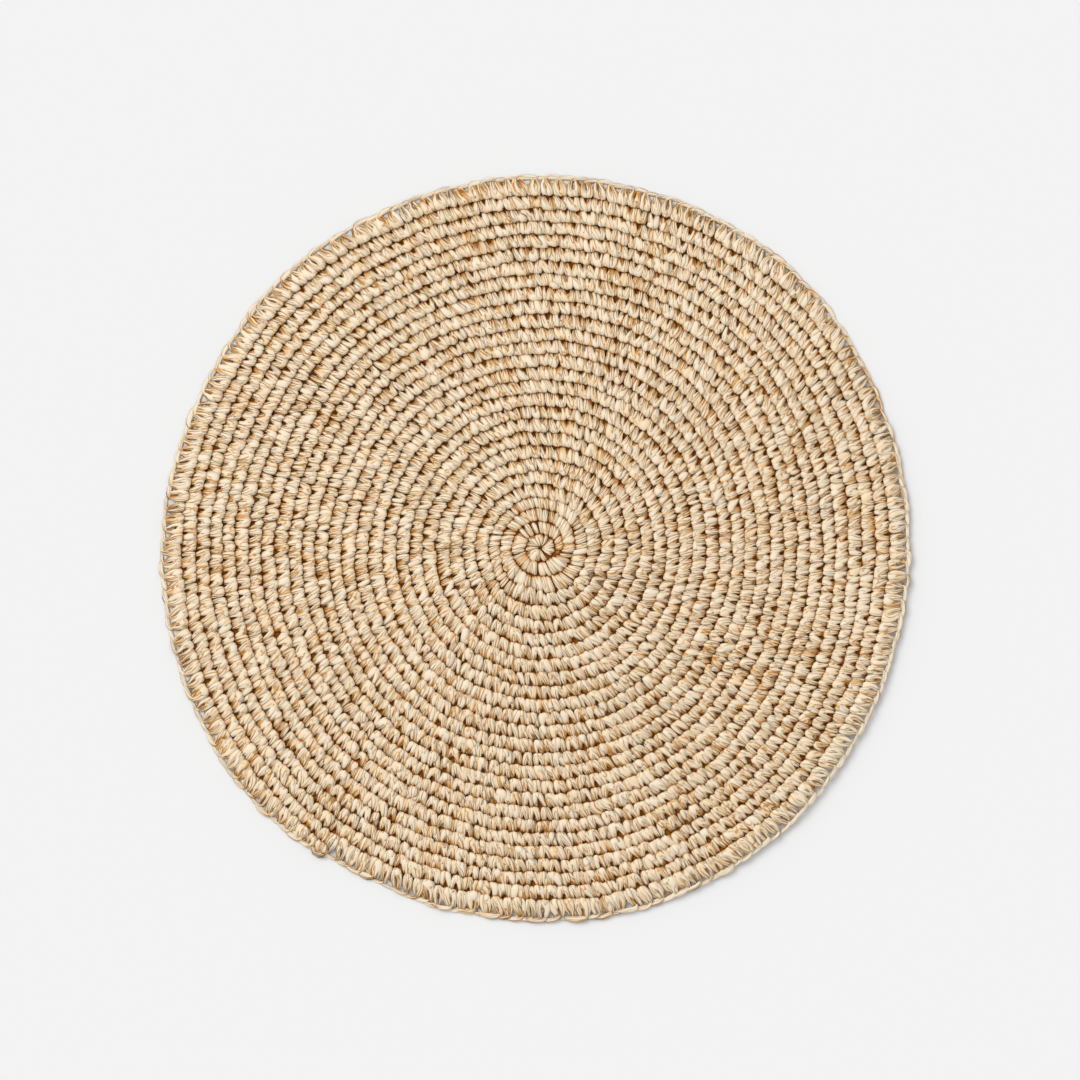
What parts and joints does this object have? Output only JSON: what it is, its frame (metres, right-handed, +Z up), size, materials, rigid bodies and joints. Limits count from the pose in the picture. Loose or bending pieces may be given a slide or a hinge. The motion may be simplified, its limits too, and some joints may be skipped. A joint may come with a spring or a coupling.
{
  "type": "raffia placemat",
  "caption": "Round flat placemat of straw-coloured raffia, crocheted in one spiral of raised rounds, with a slightly uneven looped edge.",
  "frame": {"origin": "middle of the footprint, on the underside", "axes": "+Z up out of the mat's ridged face, +X towards the right of the mat as seen from above"},
  "size_m": [0.3802, 0.3784, 0.005],
  "materials": {
    "raffia": "natural straw-coloured raffia strands, satin sheen"
  },
  "bodies": {
    "root": {"mat": "raffia"}
  },
  "joints": []
}
